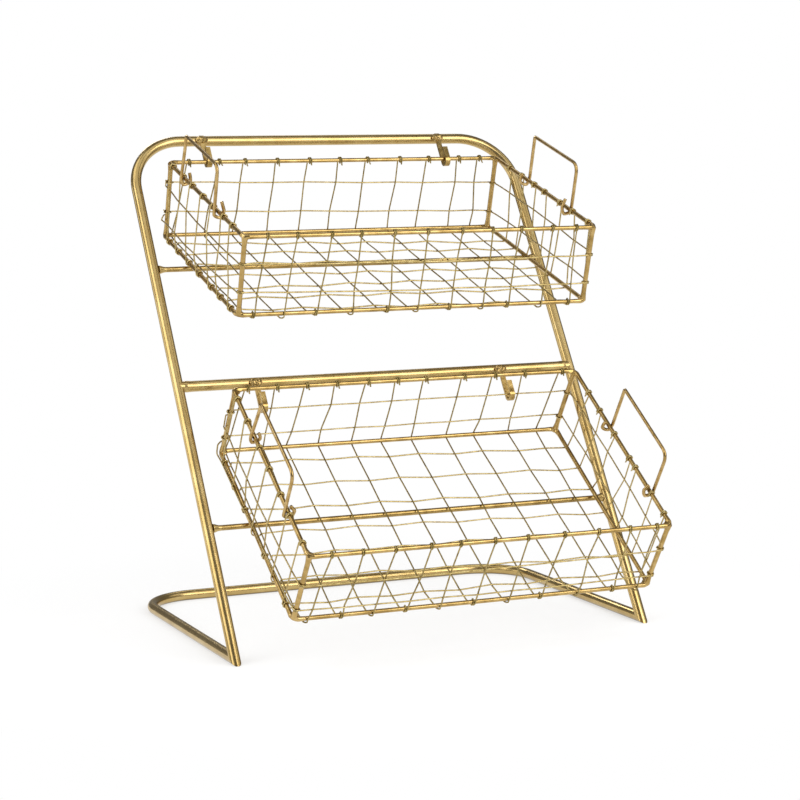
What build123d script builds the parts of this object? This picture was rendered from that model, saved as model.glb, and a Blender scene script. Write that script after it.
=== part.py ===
"""Two-tier wire basket stand.

A bent tube frame leans back over a floor-level tube base. Two equal wire baskets
pass between its legs: each is caught by a pair of J hooks on the bar behind it and
rests its floor on a thin bar across the legs. Each basket has two bail handles that
turn about its side rims.

Millimetres. X runs across, Y towards the back, Z up from the floor. The origin is on
the floor, under the middle of the whole stand with its baskets.
"""

from build123d import *
from math import atan2, cos, degrees, hypot, pi, radians, sin, sqrt, tan
import os

# Stand sizes
tube_diameter = 10
tube_wall = 1
leg_spacing = 400
top_bar_rise = 445
lean_angle = 33
top_bend_radius = 53
base_depth = 285
base_bend_radius = 53
levelling_flat = 0.25
rest_bar_diameter = 5
rest_bar_drop = 119

# Hook sizes
hook_width = 5
hook_thickness = 2
hook_inner_radius = 4
hook_drop = 30
right_hook_extra_drop = 2.5
hook_tip_length = 12.5
hook_overlap = 2
hook_inset = 48
hook_side_shift = -2
seat_angle = 206
weld_length = 11
weld_height = 6.4

# Basket sizes. The side room is from a leg to the middle of the side rim.
basket_side_room = 22
basket_depth = 221
basket_height = 73
rim_diameter = 4
rim_corner_radius = 5
post_diameter = 4.5
post_end_gap = 1.2
wire_diameter = 1.2
upper_side_shift = 6
lower_side_shift = 11

# Handle sizes
handle_width = 93
handle_height = 43
handle_diameter = 3.2
handle_corner_radius = 4.5
eye_radius = 5.2
eye_end_angle = 80

# Gaps between wires of one basket, and between pieces that move apart
wire_clearance = 0.1
moving_clearance = 0.3

# Spare length on every tool that cuts past a face
overrun = 12

# Places of the mesh wires, as shares of the rim that carries each end.
# Lengthwise wires: share of the width at the back rim, then at the front rim.
upper_lengthwise_shares = (
    (0.05, 0.06), (0.14, 0.14), (0.22, 0.24), (0.32, 0.32), (0.41, 0.41), (0.50, 0.51),
    (0.59, 0.60), (0.69, 0.69), (0.78, 0.78), (0.87, 0.87), (0.94, 0.94),
)
lower_lengthwise_shares = (
    (0.04, 0.06), (0.12, 0.14), (0.20, 0.23), (0.29, 0.32), (0.38, 0.40), (0.46, 0.50),
    (0.55, 0.59), (0.66, 0.69), (0.75, 0.79), (0.84, 0.88), (0.95, 0.95),
)
# Crosswise wires: share of the depth at the left rim, then at the right rim
upper_crosswise_shares = (
    (0.06, 0.15), (0.20, 0.27), (0.33, 0.40), (0.47, 0.51), (0.61, 0.66), (0.75, 0.78),
    (0.86, 0.93),
)
lower_crosswise_shares = (
    (0.06, 0.15), (0.20, 0.27), (0.37, 0.42), (0.49, 0.58), (0.63, 0.66), (0.78, 0.82),
    (0.92, 0.93),
)
# Hoop wires: share of the basket height below the top rim
hoop_drop_shares = (0.35, 0.71)
# Middle of each handle, as a share of the depth from the back rim
upper_left_handle_share = 0.47
upper_right_handle_share = 0.53
lower_left_handle_share = 0.54
lower_right_handle_share = 0.58

# Sizes that follow
tube_radius = tube_diameter / 2
rim_radius = rim_diameter / 2
wire_radius = wire_diameter / 2
handle_radius = handle_diameter / 2
mid_bar_rise = top_bar_rise / 2
base_height = tube_radius - levelling_flat
wire_pitch = wire_diameter + wire_clearance

# The baskets fill the room between the legs, and the hooks stand inside their corners
basket_width = leg_spacing - tube_diameter - 2 * basket_side_room
hook_spacing = basket_width - 2 * hook_inset

# The post stands inside the rounded corner of the rims
post_inset = rim_corner_radius * (1 - cos(radians(45)))
# The hoops bend round the posts, and the upright wires lie just outside the hoops
hoop_bend_radius = post_diameter / 2 + wire_clearance + wire_radius
hoop_offset = hoop_bend_radius - post_inset
wrap_radius = hoop_offset + wire_pitch
crosswise_floor_drop = basket_height
lengthwise_floor_drop = basket_height + wire_pitch
floor_underside = lengthwise_floor_drop + wrap_radius + wire_radius

# The handle eye hangs on the rim, its outer side one running gap away from the rod
leg_offset = rim_radius + moving_clearance + handle_radius
eye_offset = eye_radius - leg_offset


# Stand geometry: points are (y, z) pairs measured from the foot of the legs
def on_leg(rise):
    """Centre of the leg at a height above the base tube's centre line."""
    return rise * tan(radians(lean_angle)), rise


def seat_centre(rise, reach):
    """Point inside the J hook of the bar at this rise where a rod of the basket lies."""
    bar_y, bar_z = on_leg(rise)
    front = tube_radius + hook_thickness + hook_inner_radius
    lean = radians(lean_angle)
    bend_y = bar_y - hook_drop * sin(lean) - front * cos(lean)
    bend_z = bar_z - hook_drop * cos(lean) + front * sin(lean)
    turn = radians(seat_angle)
    return bend_y + reach * cos(turn), bend_z + reach * sin(turn)


def seat_basket(rise, held_y, held_z, held_radius):
    """Tilt and back rim centre of a basket held in the hooks and resting on its bar.

    held_y and held_z place the held rod in the basket's own frame, in which y runs
    from the front rim to the back rim and z is square to the rim.
    """
    reach = hook_inner_radius - held_radius - moving_clearance
    seat_y, seat_z = seat_centre(rise, reach)
    rest_y, rest_z = on_leg(rise - rest_bar_drop)
    below = held_z + floor_underside + moving_clearance + rest_bar_diameter / 2
    forward = sqrt(hypot(rest_y - seat_y, rest_z - seat_z) ** 2 - below**2)
    tilt = atan2(rest_z - seat_z, rest_y - seat_y) - atan2(-below, -forward)
    tilt = (tilt + pi) % (2 * pi) - pi
    rim_y = seat_y - held_y * cos(tilt) + held_z * sin(tilt)
    rim_z = seat_z - held_y * sin(tilt) - held_z * cos(tilt)
    return tilt, rim_y, rim_z


upper_tilt, upper_rim_y, upper_rim_z = seat_basket(top_bar_rise, 0, 0, rim_radius)
held_hoop_drop = basket_height * hoop_drop_shares[0]
lower_tilt, lower_rim_y, lower_rim_z = seat_basket(
    mid_bar_rise, hoop_offset, -held_hoop_drop, wire_radius
)

# The foot of the legs stands so far forward that the origin is under the middle
front_edge = lower_rim_y - basket_depth * cos(lower_tilt) - wrap_radius - wire_radius
back_edge = max(base_depth, on_leg(top_bar_rise)[0]) + tube_radius
foot_y = -(front_edge + back_edge) / 2
half_spacing = leg_spacing / 2

leg_plane = Plane(
    origin=(0, foot_y, base_height),
    x_dir=(1, 0, 0),
    z_dir=(0, -cos(radians(lean_angle)), sin(radians(lean_angle))),
)
base_plane = Plane.XY.offset(base_height)
leg_length = top_bar_rise / cos(radians(lean_angle))

# Mitre between each leg and the base tube, facing up and forward
mitre_plane = Plane(
    origin=(0, foot_y, base_height),
    x_dir=(1, 0, 0),
    z_dir=(0, sin(radians(lean_angle)) - 1, cos(radians(lean_angle))),
)


def basket_frame(tilt, rim_y, rim_z, side_shift):
    """The basket's own frame: origin on the back rim, x across, y back, z up."""
    return Plane(
        origin=(side_shift, foot_y + rim_y, base_height + rim_z),
        x_dir=(1, 0, 0),
        z_dir=(0, -sin(tilt), cos(tilt)),
    )


upper_frame = basket_frame(upper_tilt, upper_rim_y, upper_rim_z, upper_side_shift)
lower_frame = basket_frame(lower_tilt, lower_rim_y, lower_rim_z, lower_side_shift)


def save(piece, name):
    """Label a finished piece and write it to its own file."""
    piece.label = name
    export_step(piece, f"parts/{name}.step")


# Frame tube: an upside-down U that leans back
def frame_core(diameter):
    """The frame's whole path as a solid rod, run past the mitre at both feet."""
    with BuildPart() as core:
        with BuildLine(leg_plane) as path:
            FilletPolyline(
                (-half_spacing, -overrun),
                (-half_spacing, leg_length),
                (half_spacing, leg_length),
                (half_spacing, -overrun),
                radius=top_bend_radius,
            )
        with BuildSketch(path.line ^ 0):
            Circle(diameter / 2)
        sweep()
    return core.part


# Base tube: a flat U on the floor, open to the front
def base_core(diameter):
    """The base's whole path as a solid rod, run past the mitre at both feet."""
    with BuildPart() as core:
        with BuildLine(base_plane) as path:
            FilletPolyline(
                (-half_spacing, foot_y - overrun),
                (-half_spacing, foot_y + base_depth),
                (half_spacing, foot_y + base_depth),
                (half_spacing, foot_y - overrun),
                radius=base_bend_radius,
            )
        with BuildSketch(path.line ^ 0):
            Circle(diameter / 2)
        sweep()
    return core.part


# Cross bars: each runs between the legs and is coped to them
def cross_bar(rise, diameter, wall, leg_cores):
    """A bar across the legs at this rise, its ends shaped to the leg tubes."""
    bar_y, bar_z = on_leg(rise)
    bar_plane = Plane(
        origin=(-half_spacing, foot_y + bar_y, base_height + bar_z),
        x_dir=(0, 1, 0),
        z_dir=(1, 0, 0),
    )
    with BuildPart() as bar:
        with BuildSketch(bar_plane):
            Circle(diameter / 2)
            if wall:
                Circle(diameter / 2 - wall, mode=Mode.SUBTRACT)
        extrude(amount=leg_spacing)
        add(leg_cores, mode=Mode.SUBTRACT)
    return bar.part


# Hooks: a flat strip bent to a J, its back against the front of a bar
def hook_plane(rise, hook_x):
    """Side plane of a hook: x runs out to the front of the bar, y up along the legs."""
    bar_y, bar_z = on_leg(rise)
    lean = radians(lean_angle)
    return Plane(
        origin=(hook_x, foot_y + bar_y, base_height + bar_z),
        x_dir=(0, -cos(lean), sin(lean)),
        z_dir=(-1, 0, 0),
    )


def j_hook(rise, hook_x, drop):
    """One J hook with a square-cut tip, its bend centred this far down along the legs."""
    strap_x = tube_radius + hook_thickness / 2
    bend = hook_inner_radius + hook_thickness / 2
    tip_x = strap_x + 2 * bend
    with BuildPart() as hook:
        with BuildSketch(hook_plane(rise, hook_x)):
            with BuildLine():
                Line((strap_x, hook_overlap), (strap_x, -drop))
                CenterArc((strap_x + bend, -drop), bend, 180, 180)
                Line((tip_x, -drop), (tip_x, hook_tip_length - drop))
            trace(line_width=hook_thickness)
        extrude(amount=hook_width / 2, both=True)
    return hook.part


def hook_weld(rise, hook_x, hook, bar_core):
    """Rounded bead round the top end of a hook, on the front of its bar."""
    bar_y, bar_z = on_leg(rise)
    lean = radians(lean_angle)
    middle = Plane(
        origin=(hook_x, foot_y + bar_y, base_height + bar_z),
        x_dir=(1, 0, 0),
        z_dir=(0, -cos(lean), sin(lean)),
    ).offset(tube_radius + hook_thickness / 2)
    with BuildPart() as weld:
        with BuildSketch(middle):
            SlotOverall(weld_length, weld_height)
            with Locations((0, -weld_height / 2)):
                Rectangle(weld_length, weld_height, mode=Mode.SUBTRACT)
        revolve(axis=Axis(middle.origin, (1, 0, 0)))
        add(bar_core, mode=Mode.SUBTRACT)
        add(hook, mode=Mode.SUBTRACT)
    return weld.part


# Basket pieces: all drawn in the basket's own frame
def rim_loop(frame, drop):
    """A closed rod with rounded corners, this far below the top rim."""
    half = basket_width / 2
    with BuildPart() as loop:
        with BuildLine(frame.offset(-drop)) as path:
            FilletPolyline(
                (-half, 0),
                (-half, -basket_depth),
                (half, -basket_depth),
                (half, 0),
                radius=rim_corner_radius,
                close=True,
            )
        with BuildSketch(path.line ^ 0):
            Circle(rim_radius)
        sweep()
    return loop.part


def corner_post(frame, x_side, y_share, rims):
    """One corner post, its ends shaped to the two rims."""
    post_x = x_side * (basket_width / 2 - post_inset)
    post_y = -post_inset if y_share == 0 else post_inset - basket_depth
    with BuildPart() as post:
        with BuildSketch(frame.offset(post_end_gap - basket_height)):
            with Locations((post_x, post_y)):
                Circle(post_diameter / 2)
        extrude(amount=basket_height - 2 * post_end_gap)
        add(rims, mode=Mode.SUBTRACT)
    return post.part


def wire_plane(frame, start, end):
    """Plane of a mesh wire: x runs from one rim to the other, y up, and the span."""
    start_point = frame.from_local_coords(Vector(*start, 0))
    end_point = frame.from_local_coords(Vector(*end, 0))
    across = end_point - start_point
    plane = Plane(origin=start_point, x_dir=across, z_dir=across.cross(frame.z_dir))
    return plane, across.length


def mesh_wires(frame, ends, floor_drop):
    """Wires that hook over one rim, cross the floor and hook over the other rim."""
    with BuildPart() as wires:
        for start, end in ends:
            plane, span = wire_plane(frame, start, end)
            with BuildLine(plane) as path:
                CenterArc((0, 0), wrap_radius, -45, 225)
                Line((-wrap_radius, 0), (-wrap_radius, -floor_drop))
                CenterArc((0, -floor_drop), wrap_radius, 180, 90)
                Line((0, -floor_drop - wrap_radius), (span, -floor_drop - wrap_radius))
                CenterArc((span, -floor_drop), wrap_radius, 270, 90)
                Line((span + wrap_radius, -floor_drop), (span + wrap_radius, 0))
                CenterArc((span, 0), wrap_radius, 0, 225)
            with BuildSketch(path.line ^ 0):
                Circle(wire_radius)
            sweep()
    return wires.part


def lengthwise_ends(shares):
    """Rim points of each lengthwise wire: on the back rim and on the front rim."""
    left = -basket_width / 2
    return [
        ((left + back * basket_width, 0), (left + front * basket_width, -basket_depth))
        for back, front in shares
    ]


def crosswise_ends(shares):
    """Rim points of each crosswise wire: on the left rim and on the right rim."""
    half = basket_width / 2
    return [
        ((-half, -left * basket_depth), (half, -right * basket_depth))
        for left, right in shares
    ]


def hoop_loops(frame):
    """Wires round the four walls, bent round the outside of the posts."""
    half = basket_width / 2 + hoop_offset
    near = -basket_depth - hoop_offset
    with BuildPart() as hoops:
        for share in hoop_drop_shares:
            with BuildLine(frame.offset(-share * basket_height)) as path:
                FilletPolyline(
                    (-half, hoop_offset),
                    (-half, near),
                    (half, near),
                    (half, hoop_offset),
                    radius=hoop_bend_radius,
                    close=True,
                )
            with BuildSketch(path.line ^ 0):
                Circle(wire_radius)
            sweep()
    return hoops.part


# Handles: a square bail of one wire whose ends curl round the side rim
def bail_handle(frame, side, share):
    """One handle, standing up. side is -1 on the left rim and 1 on the right rim."""
    middle = -share * basket_depth
    leg_x = side * (basket_width / 2 + leg_offset)
    eye_x = side * (basket_width / 2 - eye_offset)
    shoulder = handle_height - handle_corner_radius
    diagonal = handle_corner_radius * (1 - cos(radians(45)))
    end = radians(eye_end_angle)
    half_turn = radians((eye_end_angle + 360) / 2)

    def eye_points(eye_y):
        """Free end, middle and root of one eye."""
        return [
            (eye_x + side * eye_radius * cos(turn), eye_y, eye_radius * sin(turn))
            for turn in (end, half_turn, 0)
        ]

    front = middle - handle_width / 2
    back = middle + handle_width / 2
    with BuildPart() as bail:
        with BuildLine(frame) as path:
            ThreePointArc(*eye_points(front))
            Line((leg_x, front, 0), (leg_x, front, shoulder))
            ThreePointArc(
                (leg_x, front, shoulder),
                (leg_x, front + diagonal, handle_height - diagonal),
                (leg_x, front + handle_corner_radius, handle_height),
            )
            Line(
                (leg_x, front + handle_corner_radius, handle_height),
                (leg_x, back - handle_corner_radius, handle_height),
            )
            ThreePointArc(
                (leg_x, back - handle_corner_radius, handle_height),
                (leg_x, back - diagonal, handle_height - diagonal),
                (leg_x, back, shoulder),
            )
            Line((leg_x, back, shoulder), (leg_x, back, 0))
            ThreePointArc(*reversed(eye_points(back)))
        with BuildSketch(path.line ^ 0):
            Circle(handle_radius)
        sweep()
    return bail.part


os.makedirs("parts", exist_ok=True)

# Stand
leg_cores = frame_core(tube_diameter)

with BuildPart() as frame_tube:
    add(leg_cores)
    add(frame_core(tube_diameter - 2 * tube_wall), mode=Mode.SUBTRACT)
    split(bisect_by=mitre_plane, keep=Keep.TOP)
    split(bisect_by=Plane.XY, keep=Keep.TOP)
save(frame_tube.part, "frame_tube")

with BuildPart() as base_tube:
    add(base_core(tube_diameter))
    add(base_core(tube_diameter - 2 * tube_wall), mode=Mode.SUBTRACT)
    split(bisect_by=mitre_plane, keep=Keep.BOTTOM)
    split(bisect_by=Plane.XY, keep=Keep.TOP)
save(base_tube.part, "base_tube")

mid_bar = cross_bar(mid_bar_rise, tube_diameter, tube_wall, leg_cores)
save(mid_bar, "mid_bar")
mid_bar_core = cross_bar(mid_bar_rise, tube_diameter, 0, leg_cores)

welds = []
for tier, bar_rise, bar_core in (
    ("upper", top_bar_rise, leg_cores),
    ("lower", mid_bar_rise, mid_bar_core),
):
    rest_bar = cross_bar(bar_rise - rest_bar_drop, rest_bar_diameter, 0, leg_cores)
    save(rest_bar, f"{tier}_rest_bar")
    # The hooks are welded on by hand, and the right ones hang a little lower
    for side, x_side, drop in (
        ("left", -1, hook_drop),
        ("right", 1, hook_drop + right_hook_extra_drop),
    ):
        hook_x = hook_side_shift + x_side * hook_spacing / 2
        hook = j_hook(bar_rise, hook_x, drop)
        save(hook, f"{tier}_{side}_hook")
        welds.append(hook_weld(bar_rise, hook_x, hook, bar_core))

with BuildPart() as hook_welds:
    add(welds)
save(hook_welds.part, "hook_welds")

# Baskets
for tier, frame, lengthwise_shares, crosswise_shares, handle_shares in (
    (
        "upper",
        upper_frame,
        upper_lengthwise_shares,
        upper_crosswise_shares,
        (upper_left_handle_share, upper_right_handle_share),
    ),
    (
        "lower",
        lower_frame,
        lower_lengthwise_shares,
        lower_crosswise_shares,
        (lower_left_handle_share, lower_right_handle_share),
    ),
):
    top_rim = rim_loop(frame, 0)
    bottom_rim = rim_loop(frame, basket_height)
    save(top_rim, f"{tier}_top_rim")
    save(bottom_rim, f"{tier}_bottom_rim")
    for depth_name, depth_share in (("back", 0), ("front", 1)):
        for side_name, x_side in (("left", -1), ("right", 1)):
            post = corner_post(frame, x_side, depth_share, [top_rim, bottom_rim])
            save(post, f"{tier}_{depth_name}_{side_name}_post")
    lengthwise = mesh_wires(frame, lengthwise_ends(lengthwise_shares), lengthwise_floor_drop)
    save(lengthwise, f"{tier}_lengthwise_wires")
    crosswise = mesh_wires(frame, crosswise_ends(crosswise_shares), crosswise_floor_drop)
    save(crosswise, f"{tier}_crosswise_wires")
    save(hoop_loops(frame), f"{tier}_hoop_wires")
    for side_name, x_side, share in zip(("left", "right"), (-1, 1), handle_shares):
        save(bail_handle(frame, x_side, share), f"{tier}_{side_name}_handle")

print("basket tilts in degrees", round(degrees(upper_tilt), 2), round(degrees(lower_tilt), 2))
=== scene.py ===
"""Looks of the tiered wire basket: wires with their turns and tails, bail handles, welds and finishes.

Sizes are millimetres until a piece is drawn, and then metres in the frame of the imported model.
Each basket is drawn in its own frame: x across, y towards its back rim, z up from its top rim.
"""

import logging
from contextlib import contextmanager
from dataclasses import dataclass
from enum import Enum
from functools import cache
from itertools import product
from math import cos, pi, radians, sin
from random import Random
from typing import Iterator

import bpy
from mathutils import Euler, Matrix, Vector

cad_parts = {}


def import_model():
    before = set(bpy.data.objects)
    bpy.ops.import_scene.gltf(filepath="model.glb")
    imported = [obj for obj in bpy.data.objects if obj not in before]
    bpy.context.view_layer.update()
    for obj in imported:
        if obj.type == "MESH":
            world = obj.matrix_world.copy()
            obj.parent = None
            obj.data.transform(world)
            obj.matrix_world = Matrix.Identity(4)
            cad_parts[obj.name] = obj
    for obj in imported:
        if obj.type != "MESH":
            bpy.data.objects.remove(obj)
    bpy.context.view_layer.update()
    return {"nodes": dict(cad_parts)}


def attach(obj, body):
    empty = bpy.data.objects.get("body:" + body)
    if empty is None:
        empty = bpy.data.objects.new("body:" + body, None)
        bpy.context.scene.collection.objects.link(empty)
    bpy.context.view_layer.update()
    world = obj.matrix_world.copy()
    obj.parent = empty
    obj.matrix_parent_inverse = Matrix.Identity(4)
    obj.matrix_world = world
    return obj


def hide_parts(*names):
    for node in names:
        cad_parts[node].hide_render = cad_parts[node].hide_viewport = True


Piece = bpy.types.Object
Tree = bpy.types.NodeTree
Node = bpy.types.Node
Socket = bpy.types.NodeSocket
MM = 0.001
UP = Vector((0, 0, 1))
# Tangent of half an eighth of a turn: how far past a rod's side a coil's corners reach
OCTANT = 0.414
# How close to a coil's control points the smooth line through them comes
LINE_SHARE = 0.925
# A slack loop under a bottom rod: outwards, upwards and along it, from the wall to the floor
SLACK_LOOP = ((2.75, 0.4, 0.0), (2.7, -2.2, 0.2), (1.3, -4.0, 1.1), (-0.9, -4.1, 2.4),
              (-2.4, -3.3, 3.4), (-5.2, -3.0, 3.8))
WHITE = (1, 1, 1, 1)
log = logging.getLogger("tiered_wire_basket")


class Side(Enum):
    """A wall of a basket: its outward direction and the direction in which its shares count."""

    BACK = ((0, 1, 0), (1, 0, 0))
    FRONT = ((0, -1, 0), (1, 0, 0))
    LEFT = ((-1, 0, 0), (0, -1, 0))
    RIGHT = ((1, 0, 0), (0, -1, 0))

    @property
    def outward(self) -> Vector:
        """Unit vector out of the basket."""
        return Vector(self.value[0])

    @property
    def along(self) -> Vector:
        """Unit vector along the wall, from share 0 to share 1."""
        return Vector(self.value[1])


class BottomTurn(Enum):
    """How a mesh wire passes round a bottom rod."""

    PLAIN = "bent under the rod"
    TIGHT = "one whole turn round the rod"
    LOOSE = "a slack loop under the rod"


def linear_colour(code: str) -> tuple[float, float, float, float]:
    """Turns an sRGB hex colour to linear light.

    Args:
        code: Colour such as "#B8954F".

    Returns:
        Linear red, green, blue and an alpha of one.
    """
    parts = [int(code[i:i + 2], 16) / 255 for i in (1, 3, 5)]
    linear = [p / 12.92 if p <= 0.04045 else ((p + 0.055) / 1.055) ** 2.4 for p in parts]
    return (*linear, 1.0)


def new_material(name: str) -> tuple[bpy.types.Material, Tree]:
    """Makes a material with an empty node tree.

    Args:
        name: Name of the material.

    Returns:
        The material and its tree.
    """
    made = bpy.data.materials.new(name)
    made.use_nodes = True
    made.node_tree.nodes.clear()
    return made, made.node_tree


def add_node(tree: Tree, kind: str, settings: dict | None = None, links: dict | None = None) -> Node:
    """Adds one shader node with its settings and links.

    Args:
        tree: Node tree of a material or of the world.
        kind: Blender's name for the node type, after ShaderNode.
        settings: Values by socket name, socket number or property name.
        links: Source sockets by the name or number of the input they feed.

    Returns:
        The new node.
    """
    node = tree.nodes.new(f"ShaderNode{kind}")
    sockets = {s.name for s in node.inputs}
    settings = settings or {}
    for name, value in settings.items():
        if isinstance(name, str) and name not in sockets:
            setattr(node, name, value)
    for name, value in settings.items():
        if not isinstance(name, str) or name in sockets:
            node.inputs[name].default_value = value
    for name, source in (links or {}).items():
        tree.links.new(source, node.inputs[name])
    return node


@dataclass(frozen=True)
class BrassFinish:
    """Antique brass plate on steel, tumbled to a satin: mottled tone, painted shade in the joints, soft
    gloss.
    """

    name: str
    toned: str
    body: str
    worn: str
    mottle_mm: float = 9.0
    grain_mm: float = 0.5
    gloss: tuple[float, float] = (0.22, 0.32)
    # Painted shade in the joints: its reach by ambient occlusion and its depth here, its span and its colour
    # further down
    shade_reach_mm: float = 2.5
    painted_shade_depth: float = 0.75
    relief_mm: float = 0.003
    relief_strength: float = 0.12
    tone_stops: tuple[float, float, float] = (0.34, 0.5, 0.68)
    painted_shade_span: tuple[float, float] = (0.25, 0.8)
    painted_shade_tone: str = "#3B2C12"

    @cache
    def material(self) -> bpy.types.Material:
        """Builds the node material of this finish, once.

        Returns:
            The material, on Object coordinates.
        """
        made, tree = new_material(self.name)
        place = add_node(tree, "TexCoord").outputs["Object"]
        # Plate thickness and handling vary over about a centimetre
        mottle = add_node(tree, "TexNoise",
                          {"Scale": 1 / (self.mottle_mm * MM), "Detail": 4.0, "Roughness": 0.6},
                          {"Vector": place})
        ramp = add_node(tree, "ValToRGB", links={"Fac": mottle.outputs["Fac"]})
        low, middle, high = self.tone_stops
        stops = ramp.color_ramp.elements
        stops[0].position, stops[0].color = low, linear_colour(self.toned)
        stops[1].position, stops[1].color = high, linear_colour(self.worn)
        stops.new(middle).color = linear_colour(self.body)
        # Painted shade: where ambient occlusion finds other metal close by, in the joints, the colour
        # darkens towards a dark brown
        occlusion = add_node(tree, "AmbientOcclusion", {"Distance": self.shade_reach_mm * MM, "samples": 6})
        shade = add_node(tree, "MapRange",
                         {"From Min": self.painted_shade_span[0], "From Max": self.painted_shade_span[1],
                          "To Min": self.painted_shade_depth, "To Max": 0.0},
                         {"Value": occlusion.outputs["AO"]})
        colour = add_node(tree, "Mix", {"data_type": "RGBA"},
                          {0: shade.outputs["Result"], 6: ramp.outputs["Color"]})
        colour.inputs[7].default_value = linear_colour(self.painted_shade_tone)
        # Satin: the gloss is uneven over a few millimetres
        haze = add_node(tree, "TexNoise", {"Scale": 3 / (self.mottle_mm * MM), "Detail": 3.0},
                        {"Vector": place})
        rough = add_node(tree, "MapRange",
                         {"From Min": 0.3, "From Max": 0.7,
                          "To Min": self.gloss[0], "To Max": self.gloss[1]},
                         {"Value": haze.outputs["Fac"]})
        grain = add_node(tree, "TexNoise", {"Scale": 1 / (self.grain_mm * MM), "Detail": 2.0},
                         {"Vector": place})
        bump = add_node(tree, "Bump", {"Strength": self.relief_strength, "Distance": self.relief_mm * MM},
                        {"Height": grain.outputs["Fac"]})
        shader = add_node(tree, "BsdfPrincipled", {"Metallic": 1.0},
                          {"Base Color": colour.outputs[2], "Roughness": rough.outputs["Result"],
                           "Normal": bump.outputs["Normal"]})
        add_node(tree, "OutputMaterial", links={"Surface": shader.outputs["BSDF"]})
        return made


@dataclass
class BrassShop:
    """The finishes of the stand, one for each kind of stock."""

    # Drawn steel tube, plated and tumbled: broad soft highlights, slight mottling
    tube: BrassFinish = BrassFinish(
        "brass_plated_tube_satin", "#B79B61", "#C3A86E", "#CDB47D",
        mottle_mm=30.0, gloss=(0.2, 0.25), relief_mm=0.001)
    # Thin bars under the baskets: the same plate, darkened with painted shade for the baskets above them
    bar: BrassFinish = BrassFinish(
        "brass_plated_bar_painted_shade", "#8F7542", "#A68A52", "#BCA068", mottle_mm=12.0, gloss=(0.2, 0.27))
    # Rim and post rod: the same plate, a little darker than the tube
    rod: BrassFinish = BrassFinish(
        "brass_plated_rod_satin", "#A3864E", "#BA9C60", "#CDB077", mottle_mm=12.0, gloss=(0.2, 0.27))
    # Crosswise wire and hoops: pale, thin plate, the wire's plain colour
    pale_wire: BrassFinish = BrassFinish(
        "brass_plated_wire_pale", "#A48D54", "#BDA76C", "#D3C08A",
        mottle_mm=5.0, shade_reach_mm=1.2, painted_shade_depth=0.4)
    # Lengthwise wire: a darker olive-brown copy of the wire's colour, painted shade for the dark surround
    # that it reflects
    shaded_wire: BrassFinish = BrassFinish(
        "brass_plated_wire_painted_shade", "#86733F", "#A38F57", "#BDA86E",
        mottle_mm=6.0, shade_reach_mm=1.2, painted_shade_depth=0.55)
    # Handle wire: worn a little brighter by hands
    handle: BrassFinish = BrassFinish(
        "brass_plated_handle_worn", "#A88A52", "#BE9F66", "#D2B57E", mottle_mm=8.0, gloss=(0.18, 0.28))
    # Pressed steel strip of the hooks
    strip: BrassFinish = BrassFinish(
        "brass_plated_strip_satin", "#9A8048", "#B99B5E", "#D2B678", mottle_mm=6.0)
    # Weld metal under the plate: uneven, with painted shade in its hollows
    weld: BrassFinish = BrassFinish(
        "brass_plated_weld_bead", "#8F7746", "#B0935A", "#CBB078",
        mottle_mm=2.5, grain_mm=0.7, gloss=(0.26, 0.38), relief_mm=0.05)


def deselect_all() -> None:
    """Leaves edit mode and clears the selection."""
    if bpy.context.object and bpy.context.object.mode != "OBJECT":
        bpy.ops.object.mode_set(mode="OBJECT")
    bpy.ops.object.select_all(action="DESELECT")


def activate(piece: Piece) -> None:
    """Makes one object the only selected and active one.

    Args:
        piece: The object.
    """
    deselect_all()
    piece.select_set(True)
    bpy.context.view_layer.objects.active = piece


@contextmanager
def editing(kind: str = "mesh") -> Iterator[None]:
    """Edits the active object in a with block, with all of its points selected.

    Args:
        kind: The object's own edit operators, "mesh" or "curve".
    """
    bpy.ops.object.mode_set(mode="EDIT")
    getattr(bpy.ops, kind).select_all(action="SELECT")
    yield
    bpy.ops.object.mode_set(mode="OBJECT")


def settled() -> Piece:
    """Moves the place of the newest object into its mesh, and returns it."""
    bpy.ops.object.transform_apply(location=True, rotation=True, scale=True)
    return bpy.context.object


def cone_stub(at: tuple, turned: tuple, big: float, small: float, long: float, vertices: int) -> Piece:
    """Adds one stub of weld metal, a cut cone.

    Args:
        at: Its middle.
        turned: Its turn about x, y and z.
        big: Radius of its first end.
        small: Radius of its second end.
        long: Its length.
        vertices: Corners of its outline.

    Returns:
        The stub, with its place in its mesh.
    """
    deselect_all()
    bpy.ops.mesh.primitive_cone_add(vertices=vertices, radius1=big, radius2=small, depth=long,
                                    location=at, rotation=turned)
    return settled()


def join_pieces(pieces: list, name: str) -> Piece:
    """Joins mesh objects into one piece.

    Args:
        pieces: The objects, with their places in their meshes.
        name: Name of the piece.

    Returns:
        The piece.
    """
    activate(pieces[0])
    for piece in pieces:
        piece.select_set(True)
    if len(pieces) > 1:
        bpy.ops.object.join()
    joined = bpy.context.object
    joined.name = name
    joined.data.name = name
    deselect_all()
    return joined


def dress(piece: Piece, finish: BrassFinish, body: str, slot: str, *nodes: str) -> None:
    """Gives a piece its finish and body, and hides the nodes that it stands for.

    Args:
        piece: The finished piece.
        finish: Its finish.
        body: The body that it rides on.
        slot: Its slot in the record; not used.
        nodes: CAD nodes that it replaces.
    """
    piece.data.materials.clear()
    piece.data.materials.append(finish.material())
    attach(piece, body)
    if nodes:
        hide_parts(*nodes)
    piece.data.calc_loop_triangles()
    log.info("%s: %d triangles on %s", piece.name, len(piece.data.loop_triangles), body)


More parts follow.
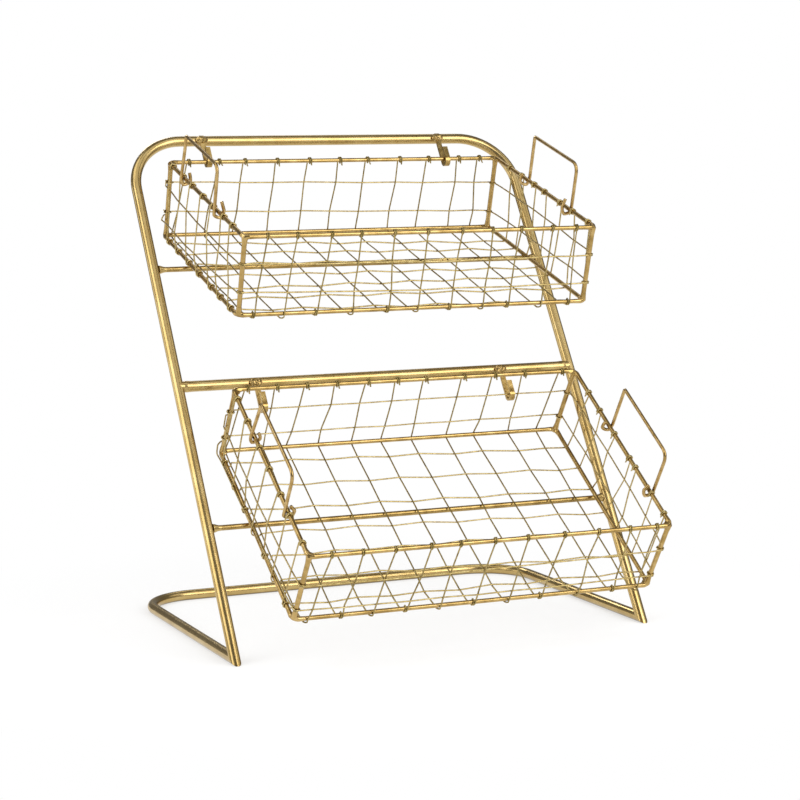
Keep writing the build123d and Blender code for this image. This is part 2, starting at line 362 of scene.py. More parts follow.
@dataclass(frozen=True)
class WireStock:
    """Round wire of one thickness, bent along control points of a smooth line."""

    diameter: float
    facets: int = 1
    steps: int = 4

    def bend(self, name: str, points: list, place: Matrix) -> Piece:
        """Bends one length of this wire.

        Args:
            name: Name of the object.
            points: Control points in the piece's own frame.
            place: Puts that frame into the model, in metres.

        Returns:
            A closed mesh tube with its place in its mesh.
        """
        deselect_all()
        bpy.ops.curve.primitive_nurbs_path_add(location=(0, 0, 0))
        wire = bpy.context.object.data
        with editing("curve"):
            bpy.ops.curve.delete(type="VERT")
            for point in points:
                bpy.ops.curve.vertex_add(location=place @ point)
            bpy.ops.curve.select_all(action="SELECT")
            bpy.ops.curve.spline_type_set(type="NURBS", use_handles=False)
        wire.splines[0].order_u = 3
        wire.splines[0].use_endpoint_u = True
        wire.resolution_u = self.steps
        wire.bevel_depth = self.diameter / 2 * MM
        wire.bevel_resolution = self.facets
        wire.use_fill_caps = True
        bpy.ops.object.convert(target="MESH")
        made = bpy.context.object
        made.name = name
        with editing():
            bpy.ops.mesh.remove_doubles(threshold=0.01 * MM)
        bpy.ops.object.shade_smooth()
        deselect_all()
        return made


def coil(centre: Vector, outward: Vector, along: Vector, radius: float, start: float, stop: float,
         pitch: float, lift: Vector = UP) -> list:
    """Control points of turns round a rod, one each eighth of a turn.

    Args:
        centre: Where the turns start on the rod's middle line.
        outward: Direction of angle zero.
        along: Direction in which the turns advance.
        radius: From the rod's middle line to the wire's.
        start: First angle in degrees.
        stop: Last angle in degrees.
        pitch: Advance in one turn.
        lift: Direction of an angle of 90 degrees.

    Returns:
        The points, outside the circle by as much as the smooth line cuts their corners.
    """
    count = round(abs(stop - start) / 45)
    step = (stop - start) / count
    reach = radius / LINE_SHARE
    points = []
    for i in range(count):
        angle = radians(start + step * (i + 0.5))
        points.append(centre + outward * reach * cos(angle) + lift * reach * sin(angle)
                      + along * pitch * (i + 0.5) / 8)
    return points


def kinked(corners: list, reach: float = 1.8) -> list:
    """Adds a control point each side of every inner corner, to keep the runs straight.

    Args:
        corners: Ends and corners of the line.
        reach: From a corner to the added points.

    Returns:
        The control points.
    """
    points = [corners[0]]
    for before, corner, after in zip(corners, corners[1:], corners[2:]):
        back, on = before - corner, after - corner
        points += [corner + back.normalized() * min(reach, back.length / 3), corner,
                   corner + on.normalized() * min(reach, on.length / 3)]
    return points + [corners[-1]]


@dataclass
class Basket:
    """One wire basket: mesh wires with turns round the rods, and weld metal in its corners."""

    tier: str
    side_shift: float
    back_y: float
    rim_z: float
    tilt: float
    lengthwise: tuple
    crosswise: tuple
    hoop_drops: tuple
    bulges: dict
    front_turns: tuple
    left_turns: tuple
    end_drops: tuple
    end_loop: float
    width: float = 346.0
    depth: float = 221.0
    height: float = 73.0
    rod_radius: float = 2.0
    post_radius: float = 2.25
    post_inset: float = 1.464
    wire: WireStock = WireStock(1.4)
    wrap_radius: float = 2.72
    wrap_pitch: float = 1.5
    left_pitch: float = 2.8
    floor_drop: float = 75.95
    front_lean: float = 5.5
    # Cut tails on the rim: shortest and longest, and drift along it
    front_tails: tuple = (3.0, 5.5)
    other_tails: tuple = (2.2, 3.8)
    tail_drift: float = 0.9
    loop_sizes: tuple = (0.85, 1.15)
    # Walls: a wire's place inside and outside a hoop, and how far it strays along the wall
    wall_weave: tuple = (0.45, 2.45)
    end_stray: float = 1.2
    side_stray: float = 2.2
    wall_kink: float = 4.0
    # Floor: rise, stray and bow of a wire at a crossing
    long_weave: float = 0.35
    long_stray: float = 0.35
    cross_weave: float = 0.9
    cross_stray: float = 0.5
    cross_bow: float = 0.4
    # Hoops: their place inside and outside a wall's wire, stray and sag
    hoop_weave: tuple = (1.7, 1.2)
    hoop_kink: float = 3.0
    hoop_stray: float = 0.5
    front_sag: float = 1.6
    other_sag: float = 0.2
    post_margin: float = 0.02

    def __post_init__(self) -> None:
        """Starts the seeded chance that keeps one wire from copying the next."""
        self.chance = Random(sum(map(ord, self.tier)))

    @property
    def place(self) -> Matrix:
        """Puts the basket's own frame into the model.

        Returns:
            The change from its millimetres to the model's metres.
        """
        origin = Vector((self.side_shift, self.back_y, self.rim_z)) * MM
        turned = Matrix.Rotation(radians(self.tilt), 4, "X")
        return Matrix.Translation(origin) @ turned @ Matrix.Scale(MM, 4)

    def vary(self, reach: float) -> float:
        """A seeded offset of up to this reach, either way."""
        return self.chance.uniform(-reach, reach)

    def rod_point(self, side: Side, share: float, drop: float = 0.0) -> Vector:
        """Point on the middle line of a rim rod, in the basket's frame.

        Args:
            side: The rod's wall.
            share: Share of its length.
            drop: Depth below the top rim.

        Returns:
            The point.
        """
        x = self.width / 2 if side is Side.RIGHT else -self.width / 2
        y = -self.depth if side is Side.FRONT else 0
        length = self.width if side in (Side.BACK, Side.FRONT) else self.depth
        return Vector((x, y, -drop)) + side.along * share * length

    def mesh_point(self, side: Side, share: float, drop: float, offset: float) -> Vector:
        """Point on the mesh of a wall, which bulges outwards between its rods.

        Args:
            side: The wall.
            share: Share of its length.
            drop: Depth below the top rim.
            offset: Distance outside the mesh's middle.

        Returns:
            The point.
        """
        depth_share = min(1.0, drop / self.height) ** 1.25
        bulge = self.bulges[side] * sin(pi * share) ** 0.7 * sin(pi * depth_share)
        return self.rod_point(side, share, drop) + side.outward * (offset + bulge)

    def rim_turns(self, side: Side, share: float) -> list:
        """Turns of a mesh wire round the top rim, from the wall to its cut tail.

        Args:
            side: The wall.
            share: Place along it.

        Returns:
            Control points, wall first.
        """
        r = self.wrap_radius
        rod = self.rod_point(side, share)
        out, along = side.outward, side.along
        end = rod + along * self.wrap_pitch * 1.5
        hang = self.chance.uniform(*(self.front_tails if side is Side.FRONT else self.other_tails))
        drift = self.vary(self.tail_drift)
        return [rod + out * r - UP * OCTANT * r, *coil(rod, out, along, r, 0, 540, self.wrap_pitch),
                end - out * r - UP * OCTANT * r,
                end - out * (r + 0.2) - UP * 0.6 * hang + along * 0.5 * drift,
                end - out * (r + 0.7) - UP * hang + along * drift,
                end - out * (r - 0.4) - UP * (hang + 0.5) + along * (drift + 0.9)]

    def bottom_turn(self, side: Side, share: float, turn: BottomTurn) -> list:
        """How the wire gets from a wall to the floor.

        Args:
            side: The wall.
            share: Place along it.
            turn: Kind of turn.

        Returns:
            Control points, wall first.
        """
        r = self.wrap_radius
        rod = self.rod_point(side, share, self.height)
        out = side.outward
        along = side.along if side in (Side.LEFT, Side.RIGHT) else -side.along
        start = [rod + out * r + UP * OCTANT * r]
        if turn is BottomTurn.PLAIN:
            return start + coil(rod, out, along, r, 0, -90, 0) + [rod - UP * r - out * OCTANT * r]
        if turn is BottomTurn.TIGHT:
            pitch = self.left_pitch if side is Side.LEFT else self.wrap_pitch
            end = rod + along * pitch * 1.25
            return (start + coil(rod, out, along, r, 0, -450, pitch)
                    + [end - UP * r - out * OCTANT * r, end + along * 2.2 - UP * 3.1 - out * 6])
        slack = self.chance.uniform(*self.loop_sizes)
        return start + [rod + out * a + UP * b * slack + along * c * slack for a, b, c in SLACK_LOOP]

    def wall_run(self, side: Side, rim_share: float, floor_share: float, count: int,
                 turn: BottomTurn) -> list:
        """One wire from the top rim, down a wall and round the bottom rod.

        Args:
            side: The wall.
            rim_share: Place along the top rim.
            floor_share: Place along the bottom rod.
            count: Number of this wire, for the weave.
            turn: How it passes the bottom rod.

        Returns:
            Control points, tail first.
        """
        top = self.rim_turns(side, rim_share)
        bottom = self.bottom_turn(side, floor_share, turn)
        corners = [top[0]]
        for k in range(len(self.hoop_drops)):
            drop = self.hoop_drop(side, k, rim_share)
            share = rim_share + (floor_share - rim_share) * drop / self.height
            offset = self.wall_weave[self.outside(count, k)]
            stray = self.end_stray if side in (Side.FRONT, Side.BACK) else self.side_stray
            corners.append(self.mesh_point(side, share, drop, offset) + side.along * self.vary(stray))
        corners.append(bottom[0])
        return list(reversed(top[1:])) + kinked(corners, self.wall_kink) + bottom[1:]

    def outside(self, count: int, hoop: int) -> bool:
        """Whether a wall wire passes outside a hoop."""
        return (count + hoop) % 2 == 0

    def hoop_drop(self, side: Side, k: int, share: float) -> float:
        """Depth of a hoop below the top rim.

        Args:
            side: The wall.
            k: Number of the hoop, from the top.
            share: Share of the wall's length.

        Returns:
            The depth.
        """
        drops = self.hoop_drops[k]
        first, last = {Side.BACK: (drops[0], drops[1]), Side.RIGHT: (drops[1], drops[2]),
                       Side.FRONT: (drops[3], drops[2]), Side.LEFT: (self.end_drops[k], drops[3])}[side]
        return first + (last - first) * share

    def woven_point(self, i: int, j: int, lengthwise: bool) -> Vector:
        """Where one of two wires lies at their crossing on the floor.

        Args:
            i: Number of the lengthwise wire, from the left.
            j: Number of the crosswise wire, from the back.
            lengthwise: Whether the lengthwise one is asked for.

        Returns:
            The point, over or under the other wire.
        """
        _, back, front, _ = self.lengthwise
        _, left, right, _ = self.crosswise
        x_back = (back[i] - 0.5) * self.width
        x_front = (front[i] - 0.5) * self.width - self.front_lean
        y_left, y_right = (-s[j] * self.depth for s in (left, right))
        # A few rounds settle where the two slanting lines cross
        y = (y_left + y_right) / 2
        x = 0.0
        for _ in range(4):
            x = x_back + (x_front - x_back) * -y / self.depth
            y = y_left + (y_right - y_left) * (x / self.width + 0.5)
        point = Vector((x, y, -self.floor_drop))
        over = 1 if (i + j) % 2 == 0 else -1
        if lengthwise:
            return point + UP * (-self.long_weave * over) + Vector((self.vary(self.long_stray), 0, 0))
        shift = self.vary(self.cross_stray) + self.cross_bow * over
        return point + UP * self.cross_weave * over + Vector((0, shift, 0))

    def mesh_wires(self, lengthwise: bool) -> Piece:
        """Bends the wires of one direction, each from a rim, over the floor, to the rim opposite.

        Args:
            lengthwise: Whether they run from back to front, or else from left to right.

        Returns:
            All of them as one piece.
        """
        plain = (BottomTurn.PLAIN, BottomTurn.PLAIN)
        if lengthwise:
            kind, wires, crossed = "lengthwise", self.lengthwise, self.crosswise
            walls, turns = (Side.BACK, Side.FRONT), (plain, self.front_turns)
        else:
            kind, wires, crossed = "crosswise", self.crosswise, self.lengthwise
            walls, turns = (Side.LEFT, Side.RIGHT), (self.left_turns, plain)
        made = []
        for n, (rim, floor, far_floor, far_rim) in enumerate(zip(*wires)):
            near = self.wall_run(walls[0], rim, floor, n, turns[0][n % 2])
            far = self.wall_run(walls[1], far_rim, far_floor, n + 1, turns[1][n % 2])
            run = [self.woven_point(*((n, m) if lengthwise else (m, n)), lengthwise)
                   for m in range(len(crossed[0]))]
            points = near[:-1] + kinked([near[-1], *run, far[-1]]) + list(reversed(far[:-1]))
            made.append(self.wire.bend(kind, points, self.place))
        return join_pieces(made, f"{self.tier}_{kind}_mesh")

    def hoop_wires(self) -> Piece:
        """Bends the two wires round the walls, each with a turn round every post.

        Returns:
            Both of them as one piece.
        """
        half, inset = self.width / 2, self.post_inset
        x, back_y, front_y = half - inset, -inset, inset - self.depth
        posts = [Vector((*spot, 0)) for spot in ((-x, back_y), (x, back_y), (x, front_y), (-x, front_y))]
        r = self.post_radius + self.wire.diameter / 2
        walls = (Side.BACK, Side.RIGHT, Side.FRONT, Side.LEFT)
        runs = (self.lengthwise, self.crosswise, self.lengthwise, self.crosswise)
        wires = []
        for k, drops in enumerate(self.hoop_drops):
            # It starts in a short tail and one turn round the back left post
            first = posts[0] - UP * (drops[0] - self.wrap_pitch)
            left, back = Side.LEFT.outward, Side.BACK.outward
            points = [first + left * (r + 1.6) + UP * 1.8 - back * 1.8,
                      first + left * (r + 0.6) - back * 0.8]
            points += coil(first, left, -UP, r, 0, 90 + 360, self.wrap_pitch, back)
            for w, side in enumerate(walls):
                n = (w + 1) % 4
                ahead, post = walls[n].outward, posts[n]
                start = posts[w] + side.outward * r - UP * drops[w] + ahead * OCTANT * r
                stop = post + side.outward * r - UP * drops[n] - ahead * OCTANT * r
                if side is Side.LEFT:
                    stop += side.outward * 1.6 + UP * (drops[0] - self.end_drops[k])
                corners = [start] + self.hoop_crossings(side, runs[w], k, start, stop) + [stop]
                points += kinked(corners, self.hoop_kink)
                if side is not Side.LEFT:
                    turned = post - UP * (drops[n] - 0.5 * self.wrap_pitch)
                    points += coil(turned, side.outward, -UP, r, 0, 90 + 360, self.wrap_pitch, ahead)
            # It ends lower on the same post, in a loop that stands out and hooks over its back
            last = posts[0] - UP * (self.end_drops[k] + 1.0)
            out, rise = r + 0.5 + k * 1.8, self.end_loop * (0.8 + 0.2 * k)
            points += [last + left * out + back * 0.6 + UP * 1.2, last + left * out + back * 1.2 + UP * rise,
                       last + left * r * 0.9 + back * (r + 0.3) + UP * (rise + 3.0),
                       last - left * 1.2 + back * (r + 0.5) + UP * (rise + 3.6),
                       last - left * 3.0 + back * (r - 0.2) + UP * (rise + 3.2)]
            wires.append(self.wire.bend("hoop", points, self.place))
        return join_pieces(wires, f"{self.tier}_hoop_mesh")

    def hoop_crossings(self, side: Side, shares: tuple, k: int, start: Vector, stop: Vector) -> list:
        """Crossings of a hoop with the upright wires of a wall, in the hoop's direction.

        Args:
            side: The wall.
            shares: Places of its wires at the rims and the floor.
            k: Number of the hoop, from the top.
            start: Where the hoop leaves a post.
            stop: Where it meets the next one.

        Returns:
            The crossing points, woven over and under.
        """
        far = side in (Side.FRONT, Side.RIGHT)
        rim, floor = (shares[3], shares[2]) if far else (shares[0], shares[1])
        found = []
        for i in range(len(rim)):
            drop = self.hoop_drop(side, k, rim[i])
            share = rim[i] + (floor[i] - rim[i]) * drop / self.height
            offset = self.hoop_weave[self.outside(i + far, k)]
            if drop > self.height - 2 * self.rod_radius:
                offset = self.wrap_radius
            point = self.mesh_point(side, share, drop, offset)
            reach = (point - start).dot(side.along) / (stop - start).dot(side.along)
            if not self.post_margin < reach < 1 - self.post_margin:
                continue
            sag = self.front_sag if side is Side.FRONT else self.other_sag
            slack = sag * sin(pi * reach) + self.vary(self.hoop_stray)
            level = start.z + (stop.z - start.z) * reach - slack
            found.append((reach, Vector((point.x, point.y, level))))
        return [point for _, point in sorted(found, key=lambda pair: pair[0])]

    def corner_weld(self) -> Piece:
        """Models the weld metal where two rim rods and a post meet.

        Returns:
            That of a top corner at the origin, in millimetres: rods to +x and +y, post down.
        """
        deselect_all()
        bend = 5.0
        bpy.ops.mesh.primitive_torus_add(location=(bend, bend, 0), major_radius=bend, minor_radius=2.14,
                                         major_segments=48, minor_segments=20)
        stubs = [settled()]
        for axis in ((1, 0, 0), (0, 1, 0)):
            with editing():
                bpy.ops.mesh.bisect(plane_co=(bend, bend, 0), plane_no=axis, clear_outer=True, use_fill=True)
        # Places, turns, radii and lengths of the post, the two rods and the web in their corner
        for stub in (
            ((self.post_inset, self.post_inset, -4.2), (0, 0, 0), 2.3, 3.1, 8.4),
            ((bend + 3.4, 0, 0), (0, pi / 2, 0), 2.4, 2.04, 8.6),
            ((0, bend + 3.4, 0), (-pi / 2, 0, 0), 2.4, 2.04, 8.6),
            ((3.4, 3.4, -0.6), (0, 0, 0), 2.2, 1.9, 2.4),
            ((6.4, 1.7, -0.1), (0, 0, 0), 1.6, 1.3, 2.0),
            ((1.7, 6.4, -0.1), (0, 0, 0), 1.6, 1.3, 2.0),
        ):
            stubs.append(cone_stub(*stub, vertices=24))
        weld = join_pieces(stubs, "corner_weld")
        return skin_weld(weld, voxel=0.4, smooth=18)

    def corner_welds(self) -> Piece:
        """Copies the corner weld to the eight corners.

        Returns:
            All of them as one piece.
        """
        model = self.corner_weld()
        copies = []
        for x, y, z in product((-1, 1), repeat=3):
            corner = Vector((x * self.width / 2, 0 if y > 0 else -self.depth, 0 if z > 0 else -self.height))
            turned = Matrix.Diagonal((-x, -y, z, 1))
            copies.append(placed_copy(model, self.place @ Matrix.Translation(corner) @ turned))
        bpy.data.objects.remove(model)
        return join_pieces(copies, f"{self.tier}_corner_welds")

    def build(self, shop: BrassShop) -> None:
        """Builds and dresses the mesh and the welds.

        Args:
            shop: Source of the finishes.
        """
        body = f"{self.tier}_basket"
        # The lengthwise wires take the copy with painted shade; the crosswise wires and hoops take the plain
        # wire colour
        for kind, piece, finish in (("lengthwise", self.mesh_wires(True), shop.shaded_wire),
                                    ("crosswise", self.mesh_wires(False), shop.pale_wire),
                                    ("hoop", self.hoop_wires(), shop.pale_wire)):
            dress(piece, finish, body, "wire_metal", f"{self.tier}_{kind}_wires")
        dress(self.corner_welds(), shop.rod, body, "weld_metal")


def placed_copy(model: Piece, place: Matrix) -> Piece:
    """Copies a piece, with its own mesh, to a place that may mirror it.

    Args:
        model: The piece to copy.
        place: Where the copy goes.

    Returns:
        The copy, its faces pointing outwards.
    """
    copy = model.copy()
    copy.data = model.data.copy()
    bpy.context.collection.objects.link(copy)
    copy.data.transform(place)
    activate(copy)
    with editing():
        bpy.ops.mesh.normals_make_consistent(inside=False)
    return copy


def apply_modifier(piece: Piece, kind: str, **settings: object) -> None:
    """Adds one modifier to the active piece, and applies it.

    Args:
        piece: The active piece.
        kind: Blender's name for the modifier.
        settings: Values by property name.
    """
    modifier = piece.modifiers.new(kind.lower(), kind)
    for name, value in settings.items():
        setattr(modifier, name, value)
    bpy.ops.object.modifier_apply(modifier=modifier.name)


def skin_weld(weld: Piece, voxel: float, smooth: int, ripple: float = 0.0, pitch: float = 2.0) -> Piece:
    """Melts overlapping stubs into one lump of weld metal.

    Args:
        weld: Joined stubs, in millimetres.
        voxel: Size of the remesh.
        smooth: Rounds of smoothing.
        ripple: Height of the uneven surface.
        pitch: From one ripple to the next.

    Returns:
        The same object, one closed shell.
    """
    activate(weld)
    apply_modifier(weld, "REMESH", mode="VOXEL", voxel_size=voxel)
    if ripple:
        clouds = bpy.data.textures.new("weld_ripple", "CLOUDS")
        clouds.noise_scale = pitch
        apply_modifier(weld, "DISPLACE", texture=clouds, strength=ripple, mid_level=0.5)
    apply_modifier(weld, "SMOOTH", factor=0.5, iterations=smooth)
    bpy.ops.object.shade_smooth()
    deselect_all()
    return weld


@dataclass
class BailHandle:
    """A square wire handle whose two ends curl round a side rim."""

    basket: Basket
    side: Side
    share: float
    width: float = 93.0
    height: float = 43.0
    tip: tuple = (-2.9, 8.8)
    corner_radius: float = 4.9
    leg_offset: float = 3.95
    drift: float = 1.6
    spread: float = 0.0
    wire: WireStock = WireStock(3.2, facets=4, steps=5)

    def eye(self, foot: Vector) -> list:
        """Control points of the open eye at the foot of a leg.

        Args:
            foot: The rim's middle line beside the leg.

        Returns:
            Control points, free end first.
        """
        end_out, end_up = self.tip
        # Outwards and upwards from the rim: inside it, under it and up beside it
        outline = (self.tip, ((end_out - 5.5) / 2, end_up * 0.56), (-5.5, 1.0), (-5.6, -2.8),
                   (-3.0, -5.9), (1.5, -5.9), (self.leg_offset, -3.0), (self.leg_offset, 2.0))
        last = len(outline) - 1
        return [foot + self.side.outward * out + UP * up + Vector((0, self.drift * (1 - i / last), 0))
                for i, (out, up) in enumerate(outline)]

    def build(self, shop: BrassShop) -> None:
        """Bends and dresses the handle.

        Args:
            shop: Source of the finishes.
        """
        out = self.side.outward
        middle = self.basket.rod_point(self.side, self.share)
        across = Vector((0, 1, 0))
        front, back = middle - across * self.width / 2, middle + across * self.width / 2
        front_top, back_top = (foot + out * self.leg_offset + UP * self.height for foot in (front, back))
        bend = 2 * self.corner_radius
        points = [*self.eye(front), front_top - UP * bend, front_top, front_top + across * bend,
                  back_top - across * bend, back_top, back_top - UP * bend,
                  *reversed(self.eye(back + across * self.spread))]
        name = f"{self.basket.tier}_{self.side.name.lower()}_handle"
        handle = self.wire.bend(f"{name}_bail", points, self.basket.place)
        dress(handle, shop.handle, name, "handle_metal", name)


@dataclass
class Stand:
    """The leaning tube frame, its bars and hooks, and the weld metal that joins them."""

    lean: float = 33.0
    foot_y: float = -103.649
    base_height: float = 4.75
    bar_rises: tuple = (445.0, 222.5)
    rest_bar_drop: float = 119.0
    hook_places: tuple = (-127.0, 123.0)
    bead_offset: float = 5.9
    rest_bar_radius: float = 2.5
    mid_bar_radius: float = 5.0
    # Where a flare of weld starts at a leg, where its two cones meet and where it runs out
    flare_ends: tuple = (193.2, 190.4, 190.8, 187.0)

    def on_leg(self, rise: float) -> Vector:
        """Middle of the stand at this rise along the legs."""
        shift = rise * sin(radians(self.lean)) / cos(radians(self.lean))
        return Vector((0, self.foot_y + shift, self.base_height + rise))

    def hook_beads(self) -> Piece:
        """Models the lumpy bead between a hook and its bar, and copies it to the four hooks.

        Returns:
            All four as one piece.
        """
        blobs = []
        # Places and half sizes of one broad lump and three small ones
        for at, size in (((0, 0, -2.2), (6.2, 2.3, 4.6)), ((-2.2, -0.9, -1.2), (2.6, 2.0, 2.4)),
                         ((2.4, -0.8, -2.6), (2.9, 2.0, 2.7)), ((0.2, -0.9, -4.6), (2.4, 1.8, 1.8))):
            deselect_all()
            bpy.ops.mesh.primitive_ico_sphere_add(subdivisions=3, radius=1, location=at, scale=size)
            blobs.append(settled())
        model = skin_weld(join_pieces(blobs, "bead"), voxel=0.35, smooth=2, ripple=0.9, pitch=1.3)
        beads = []
        lean = radians(self.lean)
        front = Vector((0, -cos(lean), sin(lean)))
        for (tier, rise), (n, hook_x) in product(enumerate(self.bar_rises), enumerate(self.hook_places)):
            spot = self.on_leg(rise) + Vector((hook_x, 0, 0)) + front * self.bead_offset
            mirror = Matrix.Diagonal((-1 if (tier + n) % 2 else 1, 1, 1, 1))
            turned = Matrix.Rotation(-lean, 4, "X") @ mirror
            beads.append(placed_copy(model, Matrix.Scale(MM, 4) @ Matrix.Translation(spot) @ turned))
        bpy.data.objects.remove(model)
        return join_pieces(beads, "hook_weld_beads")

    def bar_welds(self) -> Piece:
        """Models the flare of weld metal at both ends of every cross bar.

        Returns:
            All of them as one piece.
        """
        flares = []
        top, middle = self.bar_rises
        wide_start, wide_stop, slim_start, slim_stop = self.flare_ends
        bars = ((self.rest_bar_radius, top - self.rest_bar_drop),
                (self.rest_bar_radius, middle - self.rest_bar_drop), (self.mid_bar_radius, middle))
        for (radius, rise), x_side in product(bars, (-1, 1)):
            cones = ((radius * 0.3 + 3.6, radius + 0.35, wide_start, wide_stop),
                     (radius + 0.4, radius + 0.05, slim_start, slim_stop))
            stubs = [cone_stub((x_side * ((start + stop) / 2 + 1), 0, 0), (0, -x_side * pi / 2, 0),
                               big, small, start - stop + 2, vertices=32)
                     for big, small, start, stop in cones]
            flare = skin_weld(join_pieces(stubs, "flare"), voxel=0.5, smooth=8)
            flare.data.transform(Matrix.Scale(MM, 4) @ Matrix.Translation(self.on_leg(rise)))
            flares.append(flare)
        return join_pieces(flares, "bar_end_welds")

    def build(self, shop: BrassShop, nodes: dict) -> None:
        """Builds the welds and dresses the CAD nodes of the stand and of the rims.

        Args:
            shop: Source of the finishes.
            nodes: The CAD nodes by name.
        """
        dress(self.hook_beads(), shop.weld, "stand", "weld_metal", "hook_welds")
        dress(self.bar_welds(), shop.tube, "stand", "weld_metal")
        # The rest bars take the bar finish, which is darkened with painted shade
        endings = {"_tube": shop.tube, "mid_bar": shop.tube, "rest_bar": shop.bar, "_hook": shop.strip,
                   "_handle": shop.handle, "_wires": shop.pale_wire}
        for name, node in nodes.items():
            finish = next((made for end, made in endings.items() if name.endswith(end)), shop.rod)
            node.data.materials.clear()
            node.data.materials.append(finish.material())
            log.info("%s: finish %s", name, finish.name)


def facing(spot: tuple, aim: tuple) -> Euler:
    """Turn that points a panel or light at this spot towards its aim."""
    return (Vector(aim) - Vector(spot)).to_track_quat("-Z", "Y").to_euler()


@dataclass
class Studio:
    """A pale floor, a white surround, soft lights, and a dark screen and cards for the metal."""

    floor_size: float = 60.0
    shadow_reach: float = 0.5
    shadow_depth: float = 0.42
    surround_level: float = 0.7
    flag_level: float = 0.2
    flag_reach: float = 3.6
    flag_height: float = 3.4
    card_aim: tuple = (0, 0.02, 0.3)
    light_aim: tuple = (0, 0.02, 0.22)
    # Name, place and size in metres, and brightness, where one is plain white
    cards: tuple = (
        ("rim_card", (-0.02, 1.55, 1.08), (0.5, 0.35), 5.0),
        ("left_back_card", (-1.3, 0.9, 0.4), (1.0, 0.7), 1.3),
        ("overhead_card", (-0.1, -0.45, 1.6), (1.3, 0.9), 1.0),
        ("high_left_card", (-0.64, 0.22, 1.32), (0.6, 0.6), 1.7),
        ("right_back_card", (0.5, 1.2, 1.4), (0.6, 0.5), 1.5))
    lights: tuple = (
        ("key_softbox", (0.56, -1.2, 0.9), (0.9, 1.15), 3.2),
        ("left_softbox", (-0.98, -0.12, 0.74), (0.7, 0.8), 2.2),
        ("right_softbox", (0.9, -0.3, 0.95), (0.9, 0.8), 0.8))

    def white_rays(self, tree: Tree) -> Socket:
        """Tells the rays that should see plain white: from the camera, a gloss or glass.

        Args:
            tree: Node tree to add to.

        Returns:
            A value of one for those rays.
        """
        rays = add_node(tree, "LightPath").outputs
        seen = rays["Is Camera Ray"]
        for kind in ("Glossy", "Transmission"):
            links = {0: seen, 1: rays[f"Is {kind} Ray"]}
            seen = add_node(tree, "Math", {"operation": "MAXIMUM"}, links).outputs[0]
        return seen

    def build_world(self) -> None:
        """Sets the surround: white to look at, and a plain level of light."""
        world = bpy.data.worlds.new("studio_surround")
        bpy.context.scene.world = world
        world.use_nodes = True
        tree = world.node_tree
        tree.nodes.clear()
        lit, white = (add_node(tree, "Background", {"Color": WHITE, "Strength": level})
                      for level in (self.surround_level, 1.0))
        mix = add_node(tree, "MixShader",
                       links={0: self.white_rays(tree), 1: lit.outputs[0], 2: white.outputs[0]})
        add_node(tree, "OutputWorld", links={"Surface": mix.outputs[0]})

    def build_floor(self) -> None:
        """Lays the pale floor, which keeps a faint shadow round the stand and is white beyond it."""
        deselect_all()
        bpy.ops.mesh.primitive_plane_add(size=self.floor_size, location=(0, 0, 0))
        floor = bpy.context.object
        floor.name = "studio_floor"
        made, tree = new_material("painted_board_matt")
        place = add_node(tree, "TexCoord").outputs["Object"]
        reach = add_node(tree, "VectorMath", {"operation": "LENGTH"}, {0: place})
        # Matt white board: full shadow under the stand, none beyond reach
        near = add_node(tree, "MapRange",
                        {"interpolation_type": "SMOOTHSTEP", "From Min": 0.45 * self.shadow_reach,
                         "From Max": self.shadow_reach, "To Min": self.shadow_depth, "To Max": 0.0},
                        {"Value": reach.outputs["Value"]})
        paint = add_node(tree, "BsdfDiffuse", {"Color": WHITE})
        glow = add_node(tree, "Emission", {"Color": WHITE, "Strength": 1.0})
        seen = add_node(tree, "MixShader",
                        links={0: near.outputs["Result"], 1: glow.outputs[0], 2: paint.outputs[0]})
        board = add_node(tree, "BsdfDiffuse", {"Color": (0.8, 0.8, 0.8, 1)})
        mix = add_node(tree, "MixShader",
                       links={0: self.white_rays(tree), 1: board.outputs[0], 2: seen.outputs[0]})
        add_node(tree, "OutputMaterial", links={"Surface": mix.outputs[0]})
        floor.data.materials.append(made)

    def reflect_only(self, panel: Piece, name: str, level: float) -> None:
        """Makes a panel of even brightness that shows in reflections alone.

        Args:
            panel: The panel.
            name: Its name.
            level: Its brightness.
        """
        panel.name = name
        made, tree = new_material(f"{name}_cloth_matt")
        glow = add_node(tree, "Emission", {"Color": WHITE, "Strength": level})
        add_node(tree, "OutputMaterial", links={"Surface": glow.outputs[0]})
        panel.data.materials.append(made)
        for ray in ("camera", "diffuse", "transmission", "volume_scatter", "shadow"):
            setattr(panel, f"visible_{ray}", False)

    def build_flags(self) -> None:
        """Stands a dark round screen about the floor, without which the metal looks flat."""
        deselect_all()
        bpy.ops.mesh.primitive_cylinder_add(vertices=48, radius=self.flag_reach, depth=self.flag_height,
                                            location=(0, 0, self.flag_height / 2 + 0.01))
        screen = settled()
        with editing():
            bpy.ops.mesh.select_all(action="DESELECT")
        for face in screen.data.polygons:
            face.select = face.center.z < 0.1
        bpy.ops.object.mode_set(mode="EDIT")
        bpy.ops.mesh.delete(type="FACE")
        bpy.ops.object.mode_set(mode="OBJECT")
        self.reflect_only(screen, "dark_screen", self.flag_level)

    def add_card(self, name: str, spot: tuple, size: tuple, level: float) -> None:
        """Adds a white card that faces the stand and shows in its reflections alone.

        Args:
            name: Name of the card.
            spot: Its place.
            size: Its width and height.
            level: Its brightness.
        """
        deselect_all()
        bpy.ops.mesh.primitive_plane_add(size=1, location=spot, rotation=facing(spot, self.card_aim))
        bpy.context.object.scale = (*size, 1)
        self.reflect_only(settled(), name, level)

    def add_light(self, name: str, spot: tuple, size: tuple, radiance: float) -> None:
        """Adds a soft area light that faces the stand.

        Args:
            name: Name of the light.
            spot: Its place.
            size: Its width and height.
            radiance: Its brightness.
        """
        bpy.ops.object.light_add(type="AREA", location=spot, rotation=facing(spot, self.light_aim))
        light = bpy.context.object
        light.name = name
        light.data.shape = "RECTANGLE"
        light.data.size, light.data.size_y = size
        light.data.energy = radiance * pi * size[0] * size[1]
        light.visible_camera = False

